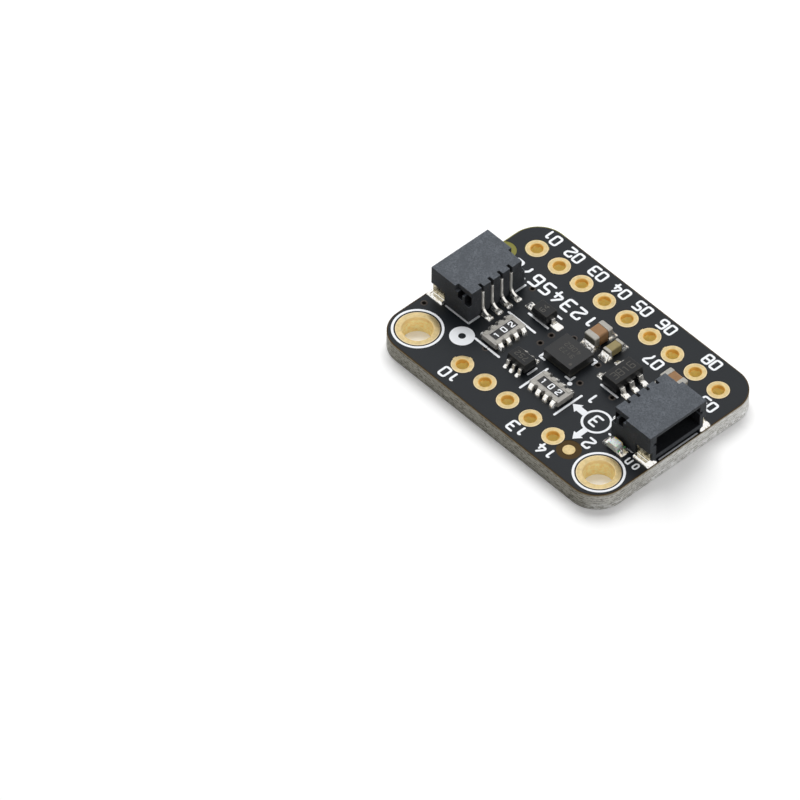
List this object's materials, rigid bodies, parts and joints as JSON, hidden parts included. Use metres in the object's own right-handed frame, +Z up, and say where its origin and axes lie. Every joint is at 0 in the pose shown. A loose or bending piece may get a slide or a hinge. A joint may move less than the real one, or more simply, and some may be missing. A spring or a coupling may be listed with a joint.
{
  "type": "imu module",
  "caption": "Small black sensor board with gold-ringed pin holes, screw holes, surface-mount chips and a plug socket at each end.",
  "frame": {"origin": "centre of the board's underside", "axes": "+X along the long side to the socket beside the lamp, +Y to the row of nine pin holes, +Z up"},
  "size_m": [0.025, 0.0178, 0.0046],
  "materials": {
    "black_laminate": "satin black mask over glass laminate",
    "gold_plate": "soft gold plate",
    "housing_plastic": "matt moulded plastic",
    "tinned_metal": "bright tin",
    "solder": "bright solder",
    "chip_plastic": "matt moulding resin",
    "array_ceramic": "ceramic under a black glaze",
    "brown_ceramic": "brown ceramic",
    "olive_ceramic": "olive ceramic",
    "lamp_base": "pale laminate",
    "lamp_lens": "clear resin"
  },
  "bodies": {
    "root": {"alignment_dot_left": "gold_plate", "alignment_dot_right": "gold_plate", "circuit_board": "black_laminate", "corner_capacitor_body": "brown_ceramic", "corner_capacitor_ends": "tinned_metal", "diode_body": "chip_plastic", "diode_leads": "tinned_metal", "lamp_base": "lamp_base", "lamp_ends": "tinned_metal", "lamp_lens": "lamp_lens", "left_socket_contact_1": "tinned_metal", "left_socket_contact_2": "tinned_metal", "left_socket_contact_3": "tinned_metal", "left_socket_contact_4": "tinned_metal", "left_socket_housing": "housing_plastic", "left_socket_tab_far": "tinned_metal", "left_socket_tab_near": "tinned_metal", "main_capacitor_body": "brown_ceramic", "main_capacitor_ends": "tinned_metal", "mounting_eyelet_left": "gold_plate", "mounting_eyelet_right": "gold_plate", "pin_hole_01": "gold_plate", "pin_hole_02": "gold_plate", "pin_hole_03": "gold_plate", "pin_hole_04": "gold_plate", "pin_hole_05": "gold_plate", "pin_hole_06": "gold_plate", "pin_hole_07": "gold_plate", "pin_hole_08": "gold_plate", "pin_hole_09": "gold_plate", "pin_hole_10": "gold_plate", "pin_hole_11": "gold_plate", "pin_hole_12": "gold_plate", "pin_hole_13": "gold_plate", "pin_hole_14": "gold_plate", "regulator_body": "chip_plastic", "regulator_leads": "tinned_metal", "resistor_array_left_body": "array_ceramic", "resistor_array_left_terminals": "tinned_metal", "resistor_array_right_body": "array_ceramic", "resistor_array_right_terminals": "tinned_metal", "right_socket_contact_1": "tinned_metal", "right_socket_contact_2": "tinned_metal", "right_socket_contact_3": "tinned_metal", "right_socket_contact_4": "tinned_metal", "right_socket_housing": "housing_plastic", "right_socket_tab_far": "tinned_metal", "right_socket_tab_near": "tinned_metal", "sensor_body": "chip_plastic", "sensor_lands": "solder", "small_capacitor_body": "olive_ceramic", "small_capacitor_ends": "tinned_metal", "solder_arrays": "solder", "solder_chip_ends": "solder", "solder_leads": "solder", "solder_left_socket": "solder", "solder_right_socket": "solder", "transistor_pair_body": "chip_plastic", "transistor_pair_leads": "tinned_metal"}
  },
  "joints": []
}
